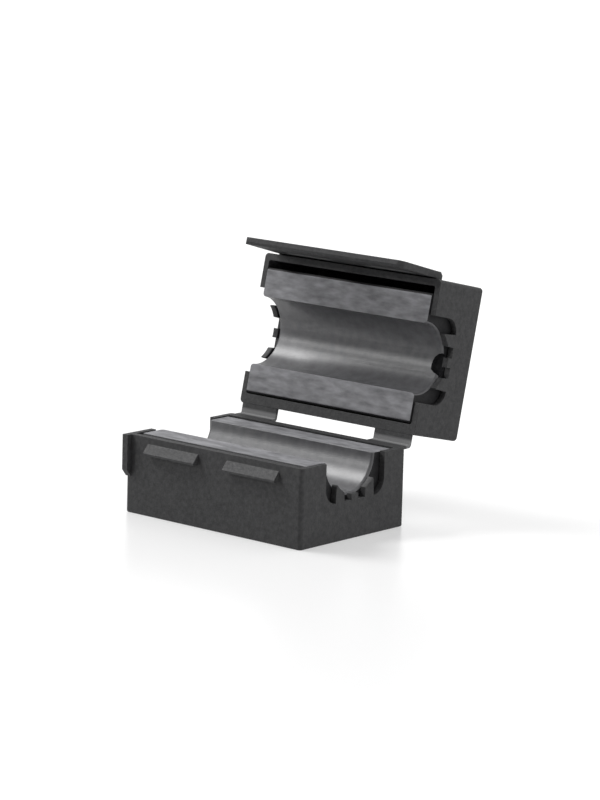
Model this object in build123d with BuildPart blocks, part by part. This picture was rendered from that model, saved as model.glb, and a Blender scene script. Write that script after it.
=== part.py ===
"""Clip-on ferrite choke for a round cable, standing open on its base.

A moulded plastic case in two halves carries half of a ferrite core in each. Two thin straps along the back join the
halves, and a flap on the front of the lid snaps over two wedges on the base. Millimetres, +Z up, +X along the cable,
-Y to the latch. The origin is the middle of the underside.
"""
import os

from build123d import *

# Ferrite core, one half
core_length = 30.9
core_width = 18.6
core_height = 8.5
groove_radius = 5.0
core_edge_radius = 0.5
groove_mouth_radius = 0.5
core_setback = 0.05
core_drop = 0.175

# Case walls round the core
core_clearance = 0.15
latch_gap = 1.1
latch_wall = 1.0
hinge_wall = 1.45
end_wall = 0.9
base_floor = 1.4
lid_floor = 1.3
rim_setback = 0.1
corner_radius = 0.6
floor_edge_radius = 0.25
pocket_corner_radius = 0.3

# Ribs in each half that the core stands on, and ribs that grip its sides
base_seat_height = 1.375
lid_seat_height = 0.525
seat_rib_width = 1.6
seat_rib_count = 3
seat_rib_pitch = 11.0
grip_rib_width = 1.0
grip_rib_height = 3.0
grip_rib_pitch = 20.0

# Cable openings in the end walls, measured from the cable's axis. Each has two claws that hold the sheath and a low
# tongue between them, all ending flush with the groove.
opening_width = 12.5
opening_depth = 5.8
opening_corner_radius = 2.2
claw_pitch = 6.3
claw_tip_depth = 3.2
claw_tip_width = 1.6
claw_root_width = 2.0
claw_tip_radius = 0.3
tongue_width = 1.4

# Hinge straps along the back
open_angle = 103.0
hinge_reach = 1.37
strap_thickness = 0.45
strap_bend_radius = 0.35
strap_width = 6.6

# Wedge catches on the front wall of the base
catch_end_margin = 4.2
catch_gap = 5.4
catch_depth = 2.5
catch_rise = 1.5
catch_nose = 0.3
catch_reach = 1.0

# Stop rib at the left end of the front wall of the base
stop_rib_width = 1.0
stop_rib_reach = 0.8
stop_rib_drop = 5.2
stop_rib_taper = 1.0

# Latch flap on the front of the lid
flap_thickness = 1.0
flap_gap = 0.15
flap_tilt = 3.0
flap_reach = 7.3
flap_root_rise = 2.4
flap_root_height = 1.3
flap_root_chamfer = 0.5
flap_lead = 0.35
flap_end_margin = 1.7
flap_corner_radius = 1.0
window_play = 0.2
window_side_play = 0.3
window_corner_radius = 0.3

# Past the faces of what is cut
cut_overrun = 1.0

# Worked out from the sizes above
pocket_length = core_length + 2 * core_clearance
pocket_width = core_clearance + core_width + latch_gap
case_length = pocket_length + 2 * end_wall
case_width = hinge_wall + pocket_width + latch_wall
base_height = base_floor + base_seat_height + core_height + core_setback + core_drop
lid_height = lid_floor + lid_seat_height + core_height + core_setback - core_drop
half_length = case_length / 2
half_width = case_width / 2
channel_shift = half_width - hinge_wall - core_clearance - core_width / 2
hinge_y = half_width + hinge_reach
catch_length = (case_length - catch_gap) / 2 - catch_end_margin
catch_pitch = catch_length + catch_gap
strap_sweep = 180 - open_angle

# Each half has a frame in its parting plane: x along the cable, z out of the mouth of the half.
base_frame = Plane(origin=(0, 0, base_height), x_dir=(1, 0, 0), z_dir=(0, 0, 1))
lid_from_hinge = Vector(0, -hinge_y, 0).rotate(Axis.X, -open_angle)
lid_mouth = Vector(0, 0, -1).rotate(Axis.X, -open_angle)
lid_frame = Plane(
    origin=Vector(0, hinge_y, base_height) + lid_from_hinge, x_dir=(1, 0, 0), z_dir=lid_mouth
)


def shifted(frame, across, outward):
    """A frame moved along its own y and z."""
    return Plane(origin=frame.from_local_coords((0, across, outward)), x_dir=frame.x_dir, z_dir=frame.z_dir)


def end_view(frame):
    """Plane across a half, seen along the cable: x along the frame's y, y out of the mouth."""
    return Plane(origin=frame.origin, x_dir=frame.y_dir, z_dir=frame.x_dir)


def channel(frame, to_hinge):
    """A half's frame moved to the cable's axis. The core sits a little low in the base and as much proud of the lid."""
    return shifted(frame, to_hinge * channel_shift, -to_hinge * core_drop)


def half_tray(frame, depth, floor, seat_height, to_hinge):
    """One half of the case without its latch: tray, core ribs and clawed cable openings."""
    upward = Axis(frame.origin, frame.z_dir)
    pocket_middle = to_hinge * (latch_wall - hinge_wall) / 2
    with BuildPart() as tray:
        with BuildSketch(frame.offset(-depth)):
            RectangleRounded(case_length, case_width, corner_radius)
        extrude(amount=depth - rim_setback)
        fillet(tray.edges().group_by(upward)[0], floor_edge_radius)
        pocket_floor = shifted(frame, pocket_middle, floor - depth)
        with BuildSketch(pocket_floor):
            RectangleRounded(pocket_length, pocket_width, pocket_corner_radius)
        extrude(amount=depth, mode=Mode.SUBTRACT)
        with BuildSketch(pocket_floor):
            with GridLocations(seat_rib_pitch, 0, seat_rib_count, 1):
                Rectangle(seat_rib_width, pocket_width)
        extrude(amount=seat_height)
        for rib_depth, side in ((core_clearance, to_hinge), (latch_gap, -to_hinge)):
            with BuildSketch(shifted(pocket_floor, side * (pocket_width - rib_depth) / 2, 0)):
                with GridLocations(grip_rib_pitch, 0, 2, 1):
                    Rectangle(grip_rib_width, rib_depth)
            extrude(amount=seat_height + grip_rib_height)
        with BuildSketch(end_view(channel(frame, to_hinge))) as opening:
            Rectangle(opening_width, 2 * opening_depth)
            fillet(opening.vertices().group_by(Axis.Y)[0], opening_corner_radius)
            claw_foot = opening_depth + cut_overrun
            for claw_middle in (-claw_pitch / 2, claw_pitch / 2):
                Polygon(
                    (claw_middle - claw_tip_width / 2, -claw_tip_depth),
                    (claw_middle - claw_root_width / 2, -claw_foot),
                    (claw_middle + claw_root_width / 2, -claw_foot),
                    (claw_middle + claw_tip_width / 2, -claw_tip_depth),
                    align=None,
                    mode=Mode.SUBTRACT,
                )
            fillet(opening.vertices().group_by(Axis.Y)[-2], claw_tip_radius)
            with Locations((0, -claw_foot / 2)):
                Rectangle(tongue_width, claw_foot, mode=Mode.SUBTRACT)
            Circle(groove_radius)
        extrude(amount=half_length + cut_overrun, both=True, mode=Mode.SUBTRACT)
    return tray.part


def half_core(frame):
    """One half of the core: a block with a half-round groove and rounded edges."""
    with BuildPart() as block:
        with BuildSketch(end_view(frame)) as section:
            with Locations((0, -core_setback - core_height / 2)):
                Rectangle(core_width, core_height)
            fillet(section.vertices(), core_edge_radius)
            Circle(groove_radius, mode=Mode.SUBTRACT)
        extrude(amount=core_length / 2, both=True)
        fillet(block.edges().filter_by(GeomType.CIRCLE).group_by(SortBy.RADIUS)[-1], groove_mouth_radius)
    return block.part


os.makedirs("parts", exist_ok=True)

# Base: the lower tray, with the wedge catches and the stop rib on its front wall
with BuildPart() as base_shell:
    add(half_tray(base_frame, base_height, base_floor, base_seat_height, 1))
    catch_face = base_height - catch_depth
    for catch_x in (-catch_pitch / 2, catch_pitch / 2):
        with BuildSketch(Plane.YZ.offset(catch_x)):
            with BuildLine():
                Polyline(
                    (-half_width + latch_wall / 2, catch_face),
                    (-half_width - catch_reach, catch_face),
                    (-half_width - catch_reach, catch_face + catch_nose),
                    (-half_width, catch_face + catch_rise),
                    (-half_width + latch_wall / 2, catch_face + catch_rise),
                    close=True,
                )
            make_face()
        extrude(amount=catch_length / 2, both=True)
    stop_foot = base_height - stop_rib_drop
    stop_top = base_height - rim_setback
    with BuildSketch(Plane.YZ.offset(-half_length)):
        with BuildLine():
            Polyline(
                (-half_width + corner_radius, stop_foot - stop_rib_taper),
                (-half_width, stop_foot - stop_rib_taper),
                (-half_width - stop_rib_reach, stop_foot),
                (-half_width - stop_rib_reach, stop_top),
                (-half_width + corner_radius, stop_top),
                close=True,
            )
        make_face()
    extrude(amount=stop_rib_width)
base_shell.part.label = "base_shell"
export_step(base_shell.part, "parts/base_shell.step")

# Lid: the upper tray, swung open about the hinge line
with BuildPart() as lid_shell:
    add(half_tray(lid_frame, lid_height, lid_floor, lid_seat_height, -1))
lid_shell.part.label = "lid_shell"
export_step(lid_shell.part, "parts/lid_shell.step")

# Hinge straps: from the back wall of the base, round the hinge line and up to the back wall of the lid
strap_outer = strap_bend_radius + strap_thickness / 2
strap_inner = strap_bend_radius - strap_thickness / 2
strap_ends = {
    "hinge_strap_left": corner_radius - half_length,
    "hinge_strap_right": half_length - corner_radius - strap_width,
}
for strap_name, strap_start in strap_ends.items():
    with BuildPart() as hinge_strap:
        with BuildSketch(Plane.YZ.offset(strap_start)):
            with BuildLine():
                outer_bend = CenterArc((hinge_y, base_height), strap_outer, -90, strap_sweep)
                inner_bend = CenterArc((hinge_y, base_height), strap_inner, -90, strap_sweep)
                outer_leg = PolarLine(outer_bend @ 1, hinge_reach, strap_sweep)
                inner_leg = PolarLine(inner_bend @ 1, hinge_reach, strap_sweep)
                Line(outer_leg @ 1, inner_leg @ 1)
                Polyline(
                    inner_bend @ 0,
                    (half_width, base_height - strap_inner),
                    (half_width, base_height - strap_outer),
                    outer_bend @ 0,
                )
            make_face()
        extrude(amount=strap_width)
    hinge_strap.part.label = strap_name
    export_step(hinge_strap.part, f"parts/{strap_name}.step")

# Latch flap: a plate with two windows, rooted on the front wall of the lid and leaning a little out of its line
flap_half_length = half_length - flap_end_margin
flap_length = flap_reach + flap_root_rise - flap_root_height
flap_section = end_view(lid_frame)
flap_foot = Vector(half_width + flap_gap, flap_root_height - flap_root_rise)
flap_along = Vector(0, 1).rotate(Axis.Z, -flap_tilt)
flap_out = Vector(1, 0).rotate(Axis.Z, -flap_tilt)
flap_end = flap_foot + flap_along * flap_length
window_length = catch_length + 2 * window_side_play
window_width = catch_rise + 2 * window_play
window_middle = catch_depth - catch_rise / 2 - flap_foot.Y
flap_inward = lid_frame.y_dir * -flap_out.X + lid_frame.z_dir * -flap_out.Y
flap_face = Plane(
    origin=flap_section.from_local_coords((flap_foot.X, flap_foot.Y, 0)), x_dir=(1, 0, 0), z_dir=flap_inward
)
with BuildPart() as latch_flap:
    with BuildSketch(flap_section.offset(-flap_half_length)):
        with BuildLine():
            Polyline(
                (half_width, -flap_root_rise),
                (half_width + flap_gap + flap_thickness - flap_root_chamfer, -flap_root_rise),
                (half_width + flap_gap + flap_thickness, flap_root_chamfer - flap_root_rise),
                flap_foot + flap_out * flap_thickness,
                flap_end + flap_out * flap_thickness,
                flap_end + flap_out * flap_lead,
                flap_end - flap_along * flap_lead,
                flap_foot,
                (half_width, flap_foot.Y),
                close=True,
            )
        make_face()
    extrude(amount=2 * flap_half_length)
    with BuildSketch(flap_face) as outline:
        Rectangle(2 * flap_half_length, 2 * flap_length)
        fillet(outline.vertices().group_by(Axis.Y)[-1], flap_corner_radius)
        with Locations((0, window_middle)):
            with GridLocations(catch_pitch, 0, 2, 1):
                RectangleRounded(window_length, window_width, window_corner_radius, mode=Mode.SUBTRACT)
    extrude(amount=2 * flap_thickness, both=True, mode=Mode.INTERSECT)
latch_flap.part.label = "latch_flap"
export_step(latch_flap.part, "parts/latch_flap.step")

# Ferrite halves: one pressed into each tray
core_frames = {"lower_core_half": channel(base_frame, 1), "upper_core_half": channel(lid_frame, -1)}
for core_name, core_frame in core_frames.items():
    with BuildPart() as core_half:
        add(half_core(core_frame))
    core_half.part.label = core_name
    export_step(core_half.part, f"parts/{core_name}.step")
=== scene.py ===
import math
import random

import bmesh
import bpy
from mathutils import Matrix, Vector


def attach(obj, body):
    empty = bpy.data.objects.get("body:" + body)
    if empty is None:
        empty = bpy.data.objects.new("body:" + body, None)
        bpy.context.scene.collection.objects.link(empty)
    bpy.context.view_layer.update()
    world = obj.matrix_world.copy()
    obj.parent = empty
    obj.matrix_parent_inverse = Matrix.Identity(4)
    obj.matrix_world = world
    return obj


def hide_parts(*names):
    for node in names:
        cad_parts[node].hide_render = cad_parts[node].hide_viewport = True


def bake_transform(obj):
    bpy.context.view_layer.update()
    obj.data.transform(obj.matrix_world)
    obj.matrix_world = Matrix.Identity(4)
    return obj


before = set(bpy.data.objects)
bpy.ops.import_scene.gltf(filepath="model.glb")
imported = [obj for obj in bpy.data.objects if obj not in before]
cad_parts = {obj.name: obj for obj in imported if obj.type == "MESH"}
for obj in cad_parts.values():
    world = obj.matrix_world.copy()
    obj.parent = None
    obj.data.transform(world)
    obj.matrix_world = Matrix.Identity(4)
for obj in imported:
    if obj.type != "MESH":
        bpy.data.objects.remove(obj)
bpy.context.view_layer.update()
mm = 0.001

# Base shell: the lower tray of the case, injection moulded in dark grey polypropylene. The mould
# leaves a fine satin grain on its faces and slightly rounded edges. The wedge catches and the
# stop rib are moulded with it.
fine_grain = bpy.data.node_groups.new("fine_grain", "ShaderNodeTree")
fine_grain.interface.new_socket("Place", in_out="INPUT", socket_type="NodeSocketVector")
fine_grain.interface.new_socket("Grain Scale", in_out="INPUT", socket_type="NodeSocketFloat")
fine_grain.interface.new_socket("Cloud Scale", in_out="INPUT", socket_type="NodeSocketFloat")
fine_grain.interface.new_socket("Grain", in_out="OUTPUT", socket_type="NodeSocketFloat")
fine_grain.interface.new_socket("Cloud", in_out="OUTPUT", socket_type="NodeSocketFloat")
grain_in = fine_grain.nodes.new("NodeGroupInput")
grain_out = fine_grain.nodes.new("NodeGroupOutput")
for effect, octaves in (("Grain", 2.0), ("Cloud", 4.0)):
    noise = fine_grain.nodes.new("ShaderNodeTexNoise")
    noise.inputs["Detail"].default_value = octaves
    fine_grain.links.new(grain_in.outputs["Place"], noise.inputs["Vector"])
    fine_grain.links.new(grain_in.outputs[effect + " Scale"], noise.inputs["Scale"])
    spread = fine_grain.nodes.new("ShaderNodeMapRange")
    spread.inputs["From Min"].default_value = 0.3
    spread.inputs["From Max"].default_value = 0.7
    fine_grain.links.new(noise.outputs["Fac"], spread.inputs["Value"])
    fine_grain.links.new(spread.outputs["Result"], grain_out.inputs[effect])


def grained(name, tones, roughness, specular, grain_size, cloud_size, grain_depth, stretch=(1, 1, 1)):
    """A material with clouded tones, and with a fine grain in its gloss and height."""
    material = bpy.data.materials.new(name)
    material.use_nodes = True
    nodes = material.node_tree.nodes
    links = material.node_tree.links
    surface = nodes["Principled BSDF"]
    surface.inputs["Specular IOR Level"].default_value = specular
    place = nodes.new("ShaderNodeTexCoord")
    stretched = nodes.new("ShaderNodeMapping")
    stretched.inputs["Scale"].default_value = stretch
    links.new(place.outputs["Object"], stretched.inputs["Vector"])
    grain = nodes.new("ShaderNodeGroup")
    grain.node_tree = fine_grain
    grain.inputs["Grain Scale"].default_value = 1 / grain_size
    grain.inputs["Cloud Scale"].default_value = 1 / cloud_size
    links.new(stretched.outputs["Vector"], grain.inputs["Place"])
    tone = nodes.new("ShaderNodeMix")
    tone.data_type = "RGBA"
    tone.inputs["A"].default_value = (*tones[0], 1)
    tone.inputs["B"].default_value = (*tones[1], 1)
    links.new(grain.outputs["Cloud"], tone.inputs["Factor"])
    links.new(tone.outputs["Result"], surface.inputs["Base Color"])
    gloss = nodes.new("ShaderNodeMapRange")
    gloss.inputs["To Min"].default_value = roughness[0]
    gloss.inputs["To Max"].default_value = roughness[1]
    links.new(grain.outputs["Grain"], gloss.inputs["Value"])
    links.new(gloss.outputs["Result"], surface.inputs["Roughness"])
    bump = nodes.new("ShaderNodeBump")
    bump.inputs["Strength"].default_value = 0.5
    bump.inputs["Distance"].default_value = grain_depth
    links.new(grain.outputs["Grain"], bump.inputs["Height"])
    links.new(bump.outputs["Normal"], surface.inputs["Normal"])
    return material


satin_plastic = grained(
    "satin_grey_plastic",
    tones=((0.014, 0.014, 0.015), (0.030, 0.030, 0.031)),
    roughness=(0.60, 0.74),
    specular=0.4,
    grain_size=0.25 * mm,
    cloud_size=0.6 * mm,
    grain_depth=0.02 * mm,
)
weld_distance = 0.002 * mm
flat_angle = math.radians(0.5)
edge_angle = math.radians(35)


def softened(node_name, edge_radius, rows=(), row_normal=None):
    """A copy of a solid with whole faces and slightly rounded edges, cut into rows where it bends."""
    mesh = bpy.data.meshes.new(node_name + "_whole_faces")
    shape = bmesh.new()
    shape.from_mesh(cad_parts[node_name].data)
    bmesh.ops.remove_doubles(shape, verts=shape.verts, dist=weld_distance)
    bmesh.ops.dissolve_limit(shape, angle_limit=flat_angle, verts=shape.verts, edges=shape.edges)
    for row in rows:
        whole = shape.verts[:] + shape.edges[:] + shape.faces[:]
        bmesh.ops.bisect_plane(shape, geom=whole, plane_co=row, plane_no=row_normal)
    shape.to_mesh(mesh)
    shape.free()
    mesh.shade_smooth()
    rough_cut = bpy.data.objects.new(node_name + "_rough_cut", mesh)
    bpy.context.scene.collection.objects.link(rough_cut)
    edge = rough_cut.modifiers.new("rounded_edge", "BEVEL")
    edge.width = edge_radius
    edge.segments = 2
    edge.limit_method = "ANGLE"
    edge.angle_limit = edge_angle
    rough_cut.modifiers.new("even_shading", "WEIGHTED_NORMAL")
    seen = rough_cut.evaluated_get(bpy.context.evaluated_depsgraph_get())
    finished = bpy.data.meshes.new_from_object(seen)
    finished.materials.clear()
    bpy.data.objects.remove(rough_cut)
    return finished


def placed(name, mesh, *materials):
    """A finished piece in the scene, with materials for its mesh."""
    for material in materials:
        mesh.materials.append(material)
    piece = bpy.data.objects.new(name, mesh)
    bpy.context.scene.collection.objects.link(piece)
    return piece


moulded_edge = 0.08 * mm
base = placed("base_moulding", softened("base_shell", moulded_edge), satin_plastic)
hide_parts("base_shell")
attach(base, "base")

# Hinge straps: two thin tongues of the same moulding along the back. Each leaves the base just
# under its rim, bends round the hinge line and runs up the back wall of the lid. Round the bend
# the plastic is painted paler: a painted highlight for the light from above on its upward faces.
hinge_line = Vector((0, 12.52, 11.5)) * mm
strap_leg = 1.37 * mm
strap_bend = 0.35 * mm
strap_sweep = math.radians(77)
leg_steps = 4
bend_steps = 14
strap_corner_angle = math.radians(40)
strap_points = []
for step in range(leg_steps):
    leg_left = strap_leg * (1 - step / leg_steps)
    strap_points.append(hinge_line + Vector((0, -leg_left, -strap_bend)))
for step in range(bend_steps + 1):
    turn = strap_sweep * step / bend_steps
    strap_points.append(hinge_line + Vector((0, math.sin(turn), -math.cos(turn))) * strap_bend)
strap_rise = Vector((0, math.cos(strap_sweep), math.sin(strap_sweep)))
strap_top = strap_points[-1]
for step in range(leg_steps):
    strap_points.append(strap_top + strap_rise * strap_leg * (step + 1) / leg_steps)

# Painted highlight: within about 0.8 mm of the hinge line the strap plastic is painted paler,
# standing in for light from above on the bend's upward faces.
strap_plastic_painted_highlight = satin_plastic.copy()
strap_plastic_painted_highlight.name = "grey_plastic_painted_highlight"
bent_nodes = strap_plastic_painted_highlight.node_tree.nodes
bent_links = strap_plastic_painted_highlight.node_tree.links
off_hinge = bent_nodes.new("ShaderNodeMapping")
off_hinge.inputs["Location"].default_value = -hinge_line
off_hinge.inputs["Scale"].default_value = (0, 1, 1)
hinge_distance = bent_nodes.new("ShaderNodeVectorMath")
hinge_distance.operation = "LENGTH"
painted_highlight_fade = bent_nodes.new("ShaderNodeMapRange")
painted_highlight_fade.inputs["From Min"].default_value = 0.45 * mm
painted_highlight_fade.inputs["From Max"].default_value = 0.8 * mm
painted_highlight_fade.inputs["To Min"].default_value = 0.9
painted_highlight_fade.inputs["To Max"].default_value = 0
painted_highlight_mix = bent_nodes.new("ShaderNodeMix")
painted_highlight_mix.data_type = "RGBA"
painted_highlight_mix.inputs["B"].default_value = (0.15, 0.15, 0.152, 1)
bent_links.new(bent_nodes["Texture Coordinate"].outputs["Object"], off_hinge.inputs["Vector"])
bent_links.new(off_hinge.outputs["Vector"], hinge_distance.inputs[0])
bent_links.new(hinge_distance.outputs["Value"], painted_highlight_fade.inputs["Value"])
bent_links.new(painted_highlight_fade.outputs["Result"], painted_highlight_mix.inputs["Factor"])
bent_links.new(bent_nodes["Mix"].outputs["Result"], painted_highlight_mix.inputs["A"])
bent_links.new(painted_highlight_mix.outputs["Result"], bent_nodes["Principled BSDF"].inputs["Base Color"])

strap_path = bpy.data.curves.new("strap_path", "CURVE")
strap_path.dimensions = "3D"
strap_line = strap_path.splines.new("POLY")
strap_line.points.add(len(strap_points) - 1)
for point, place in zip(strap_line.points, strap_points):
    point.co = (*place, 1)
strap_maker = bpy.data.objects.new("strap_maker", strap_path)
bpy.context.scene.collection.objects.link(strap_maker)

strap_tree = bpy.data.node_groups.new("hinge_strap_sweep", "GeometryNodeTree")
strap_tree.interface.new_socket("Geometry", in_out="INPUT", socket_type="NodeSocketGeometry")
strap_tree.interface.new_socket("Geometry", in_out="OUTPUT", socket_type="NodeSocketGeometry")
strap_sizes = {"Width": 6.6 * mm, "Thickness": 0.45 * mm, "Pitch": 25.2 * mm}
strap_sockets = {}
for size in strap_sizes:
    strap_sockets[size] = strap_tree.interface.new_socket(
        size, in_out="INPUT", socket_type="NodeSocketFloat"
    )
strap_material = strap_tree.interface.new_socket(
    "Plastic", in_out="INPUT", socket_type="NodeSocketMaterial"
)
sweep_in = strap_tree.nodes.new("NodeGroupInput")
sweep_out = strap_tree.nodes.new("NodeGroupOutput")
section = strap_tree.nodes.new("GeometryNodeCurvePrimitiveQuadrilateral")
sweep = strap_tree.nodes.new("GeometryNodeCurveToMesh")
sweep.inputs["Fill Caps"].default_value = True
places = strap_tree.nodes.new("GeometryNodeMeshLine")
places.mode = "END_POINTS"
places.inputs["Count"].default_value = 2
half_pitch = strap_tree.nodes.new("ShaderNodeMath")
half_pitch.operation = "MULTIPLY"
half_pitch.inputs[1].default_value = 0.5
other_half = strap_tree.nodes.new("ShaderNodeMath")
other_half.operation = "MULTIPLY"
other_half.inputs[1].default_value = -0.5
left_place = strap_tree.nodes.new("ShaderNodeCombineXYZ")
right_place = strap_tree.nodes.new("ShaderNodeCombineXYZ")
pair = strap_tree.nodes.new("GeometryNodeInstanceOnPoints")
both = strap_tree.nodes.new("GeometryNodeRealizeInstances")
coated = strap_tree.nodes.new("GeometryNodeSetMaterial")
join = strap_tree.links.new
join(sweep_in.outputs["Width"], section.inputs["Width"])
join(sweep_in.outputs["Thickness"], section.inputs["Height"])
join(sweep_in.outputs["Geometry"], sweep.inputs["Curve"])
join(section.outputs["Curve"], sweep.inputs["Profile Curve"])
join(sweep_in.outputs["Pitch"], half_pitch.inputs[0])
join(sweep_in.outputs["Pitch"], other_half.inputs[0])
join(other_half.outputs["Value"], left_place.inputs["X"])
join(half_pitch.outputs["Value"], right_place.inputs["X"])
join(left_place.outputs["Vector"], places.inputs["Start Location"])
join(right_place.outputs["Vector"], places.inputs["Offset"])
join(places.outputs["Mesh"], pair.inputs["Points"])
join(sweep.outputs["Mesh"], pair.inputs["Instance"])
join(pair.outputs["Instances"], both.inputs["Geometry"])
join(both.outputs["Geometry"], coated.inputs["Geometry"])
join(sweep_in.outputs["Plastic"], coated.inputs["Material"])
join(coated.outputs["Geometry"], sweep_out.inputs["Geometry"])
strap_sweeper = strap_maker.modifiers.new("sweep", "NODES")
strap_sweeper.node_group = strap_tree
for size, amount in strap_sizes.items():
    strap_sweeper[strap_sockets[size].identifier] = amount
strap_sweeper[strap_material.identifier] = strap_plastic_painted_highlight
swept = strap_maker.evaluated_get(bpy.context.evaluated_depsgraph_get())
strap_mesh = bpy.data.meshes.new_from_object(swept)
bpy.data.objects.remove(strap_maker)
strap_mesh.materials.clear()
strap_mesh.shade_smooth()
strap_mesh.set_sharp_from_angle(angle=strap_corner_angle)
straps = placed("hinge_straps", strap_mesh, strap_plastic_painted_highlight)
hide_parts("hinge_strap_left", "hinge_strap_right")
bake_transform(straps)

# Lid shell: the upper tray, from the same shot of plastic as the base and with the same grain. It
# stands open on the straps and carries the upper half of the core.
lid = placed("lid_moulding", softened("lid_shell", moulded_edge), satin_plastic)
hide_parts("lid_shell")
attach(lid, "lid")

# Latch flap: a thin plate moulded on the front wall of the lid, with two windows for the wedges.
# It is fixed only along its root, and bends there when it is pushed over the wedges.
lid_origin = Vector((0, 15.336, 23.699)) * mm
lid_across = Vector((0, 0.22495, 0.97437))
lid_mouth = Vector((0, -0.97437, 0.22495))
lid_half_width = 11.15 * mm
flap_gap = 0.15 * mm
flap_root_rise = 2.4 * mm
flap_bend_end = 0.6 * mm
flap_root = lid_origin + lid_across * lid_half_width - lid_mouth * flap_root_rise
flap_free = lid_origin + lid_across * (lid_half_width + flap_gap) + lid_mouth * flap_bend_end
flap_row_shares = (0.25, 0.38, 0.52, 0.6, 0.68, 0.76, 0.84, 0.92)
flap_rows = [flap_root.lerp(flap_free, share) for share in flap_row_shares]
flap_mesh = softened("latch_flap", moulded_edge, flap_rows, lid_mouth)
flap = placed("latch_flap_plate", flap_mesh, satin_plastic)
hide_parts("latch_flap")
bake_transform(flap)

# Lower core half: a block of ferrite, pressed, fired and pushed into the base. Its groove is
# smooth and a little glossy. The lands are ground flat so that the halves meet, which leaves them
# paler and duller. The ends and sides are painted nearly black, a painted shade for the gaps between
# core and case.
fired_ferrite = grained(
    "fired_ferrite",
    tones=((0.058, 0.058, 0.061), (0.09, 0.09, 0.095)),
    roughness=(0.35, 0.43),
    specular=0.5,
    grain_size=0.2 * mm,
    cloud_size=1.2 * mm,
    grain_depth=0.008 * mm,
)
ground_ferrite = grained(
    "ground_ferrite",
    tones=((0.1, 0.1, 0.106), (0.218, 0.218, 0.23)),
    roughness=(0.56, 0.68),
    specular=0.35,
    grain_size=0.16 * mm,
    cloud_size=0.9 * mm,
    grain_depth=0.006 * mm,
    stretch=(0.35, 1, 1),
)
# Painted shade: the ends, sides and outer edges of the core halves are painted nearly black, standing
# in for the shade in the gaps between core and case.
painted_shade_ferrite = grained(
    "ferrite_ends_painted_shade",
    tones=((0.010, 0.010, 0.011), (0.018, 0.018, 0.019)),
    roughness=(0.6, 0.75),
    specular=0.2,
    grain_size=0.2 * mm,
    cloud_size=1.2 * mm,
    grain_depth=0.008 * mm,
)
pressed_edge = 0.05 * mm
groove_reach = 5.6 * mm
land_depth = 1.0 * mm
square_on = 0.9


def core_half(node_name, cable_axis, mouth):
    """A core half with ground lands, and with painted shade on all but them and the groove."""
    block = softened(node_name, pressed_edge)
    piece = placed(node_name + "_block", block, fired_ferrite, ground_ferrite, painted_shade_ferrite)
    for face in piece.data.polygons:
        from_axis = face.center - cable_axis
        from_axis.x = 0
        is_end = abs(face.normal.x) > square_on
        if face.normal.dot(mouth) > square_on and from_axis.dot(mouth) > -land_depth:
            face.material_index = 1
        elif from_axis.length < groove_reach and not is_end:
            face.material_index = 0
        else:
            # the ends and sides get the painted shade
            face.material_index = 2
    return piece


base_cable_axis = Vector((0, 0.25, 11.325)) * mm
base_mouth = Vector((0, 0, 1))
lower_core = core_half("lower_core_half", cable_axis=base_cable_axis, mouth=base_mouth)
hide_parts("lower_core_half")
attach(lower_core, "base")

# Upper core half: the same block, held in the lid by friction. Its groove is chipped at one end,
# and the chip's faces are nearly black.
# The chip's faces are coloured nearly black.
chip_face_near_black = grained(
    "chip_face_near_black",
    tones=((0.004, 0.004, 0.005), (0.012, 0.012, 0.013)),
    roughness=(0.55, 0.8),
    specular=0.12,
    grain_size=0.12 * mm,
    cloud_size=0.5 * mm,
    grain_depth=0.04 * mm,
)
chip_reach = Vector((1.8, 1.7, 0.75)) * mm
lid_cable_axis = Vector((0, 15.109, 23.495)) * mm
chip_along = 15.5 * mm
chip_across = -0.45 * mm
chip_depth = 5.0 * mm
chip_middle = lid_cable_axis + lid_across * chip_across - lid_mouth * chip_depth
chip_middle.x = chip_along
chip_seed = random.Random(11)
chip_shape = bmesh.new()
bmesh.ops.create_icosphere(chip_shape, subdivisions=3, radius=1)
for vertex in chip_shape.verts:
    along, across, deep = vertex.co * chip_seed.uniform(0.94, 1.06)
    vertex.co = (
        chip_middle
        + Vector((along * chip_reach.x, 0, 0))
        + lid_across * across * chip_reach.y
        + lid_mouth * deep * chip_reach.z
    )
chip_mesh = bpy.data.meshes.new("chip")
chip_shape.to_mesh(chip_mesh)
chip_shape.free()
chip = placed("chip", chip_mesh, fired_ferrite, ground_ferrite, painted_shade_ferrite, chip_face_near_black)
for face in chip_mesh.polygons:
    face.material_index = 3
unchipped = core_half("upper_core_half", cable_axis=lid_cable_axis, mouth=lid_mouth)
unchipped.data.materials.append(chip_face_near_black)
bite = unchipped.modifiers.new("bite", "BOOLEAN")
bite.operation = "DIFFERENCE"
bite.object = chip
bitten = unchipped.evaluated_get(bpy.context.evaluated_depsgraph_get())
chipped_mesh = bpy.data.meshes.new_from_object(bitten)
bpy.data.objects.remove(unchipped)
bpy.data.objects.remove(chip)
upper_core = placed("upper_core_chipped", chipped_mesh)
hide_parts("upper_core_half")
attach(upper_core, "lid")

# Floor: a plain white board, lit from below and a little glossy, so that shadows on it stay faint.
floor_side = 3.0
corner = floor_side / 2
floor_mesh = bpy.data.meshes.new("floor")
floor_corners = [
    (-corner, -corner, 0),
    (corner, -corner, 0),
    (corner, corner, 0),
    (-corner, corner, 0),
]
floor_mesh.from_pydata(floor_corners, [], [(0, 1, 2, 3)])
floor = bpy.data.objects.new("floor", floor_mesh)
bpy.context.scene.collection.objects.link(floor)
white_board = bpy.data.materials.new("white_board")
white_board.use_nodes = True
board = white_board.node_tree.nodes["Principled BSDF"]
board.inputs["Base Color"].default_value = (0.42, 0.42, 0.42, 1)
board.inputs["Roughness"].default_value = 0.28
board.inputs["Specular IOR Level"].default_value = 0.4
board.inputs["Emission Color"].default_value = (1, 1, 1, 1)
board.inputs["Emission Strength"].default_value = 0.395
floor.data.materials.append(white_board)

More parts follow.
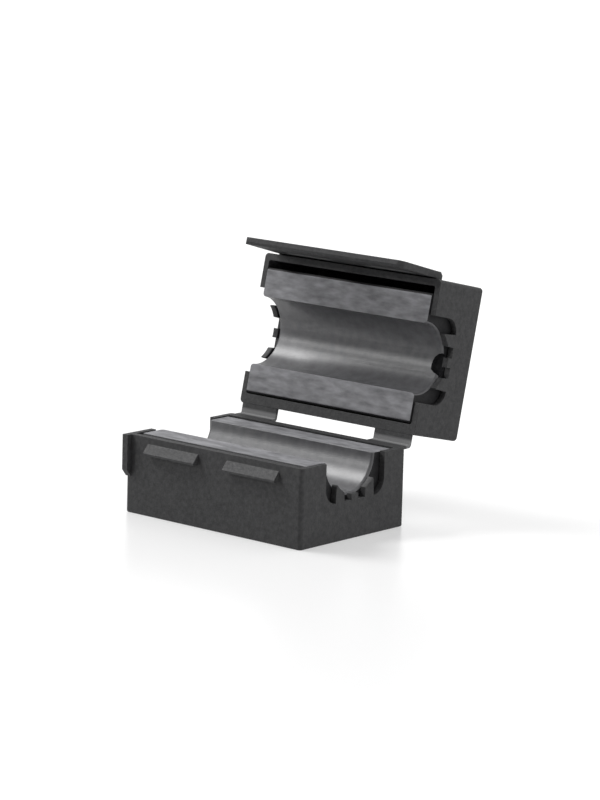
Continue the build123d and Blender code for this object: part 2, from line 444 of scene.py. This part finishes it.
# Light: a softbox high on the left and a little to the front, and a weak, harder light low beside
# it, in a room that is white behind the object and dark behind the camera.
world = bpy.data.worlds.new("studio")
world.use_nodes = True
sky = world.node_tree.nodes["Background"]
aim_at = world.node_tree.nodes.new("ShaderNodeTexCoord")
facing = world.node_tree.nodes.new("ShaderNodeVectorMath")
facing.operation = "DOT_PRODUCT"
facing.inputs[1].default_value = Vector((0.6, 0.72, 0.35)).normalized()
bright = world.node_tree.nodes.new("ShaderNodeMapRange")
bright.interpolation_type = "SMOOTHSTEP"
bright.inputs["From Min"].default_value = -0.35
bright.inputs["From Max"].default_value = 0.5
bright.inputs["To Min"].default_value = 0.04
bright.inputs["To Max"].default_value = 1.3
world.node_tree.links.new(aim_at.outputs["Generated"], facing.inputs[0])
world.node_tree.links.new(facing.outputs["Value"], bright.inputs["Value"])
world.node_tree.links.new(bright.outputs["Result"], sky.inputs["Strength"])
sky.inputs["Color"].default_value = (1, 1, 1, 1)
bpy.context.scene.world = world
softbox_data = bpy.data.lights.new("softbox", "SUN")
softbox_data.energy = 3.2
softbox_data.angle = math.radians(28)
softbox = bpy.data.objects.new("softbox", softbox_data)
softbox.rotation_mode = "QUATERNION"
softbox.rotation_quaternion = Vector((0.70, 0.20, -0.68)).to_track_quat("-Z", "Y")
bpy.context.scene.collection.objects.link(softbox)
low_fill_data = bpy.data.lights.new("low_fill", "SUN")
low_fill_data.energy = 0.85
low_fill_data.angle = math.radians(10)
low_fill = bpy.data.objects.new("low_fill", low_fill_data)
low_fill.rotation_mode = "QUATERNION"
low_fill.rotation_quaternion = Vector((0.64, 0.66, -0.36)).to_track_quat("-Z", "Y")
bpy.context.scene.collection.objects.link(low_fill)

# Camera: at the photograph's angle, with its slight roll.
azimuth = math.radians(40.589)
elevation = math.radians(10.973)
roll = math.radians(1.527)
distance = 494.83 * mm
aim = Vector((1.401, 5.623, 16.655)) * mm
level = math.cos(elevation)
back = Vector((math.sin(azimuth) * level, -math.cos(azimuth) * level, math.sin(elevation)))
camera_data = bpy.data.cameras.new("camera")
camera_data.lens = 156.78
camera_data.sensor_width = 36
camera_data.clip_start = 0.01
camera = bpy.data.objects.new("camera", camera_data)
camera.location = aim + back * distance
camera.rotation_mode = "QUATERNION"
rolled = Matrix.Rotation(roll, 3, "Z").to_quaternion()
camera.rotation_quaternion = (-back).to_track_quat("-Z", "Y") @ rolled
bpy.context.scene.collection.objects.link(camera)
bpy.context.scene.camera = camera
bpy.context.scene.view_settings.view_transform = "Standard"
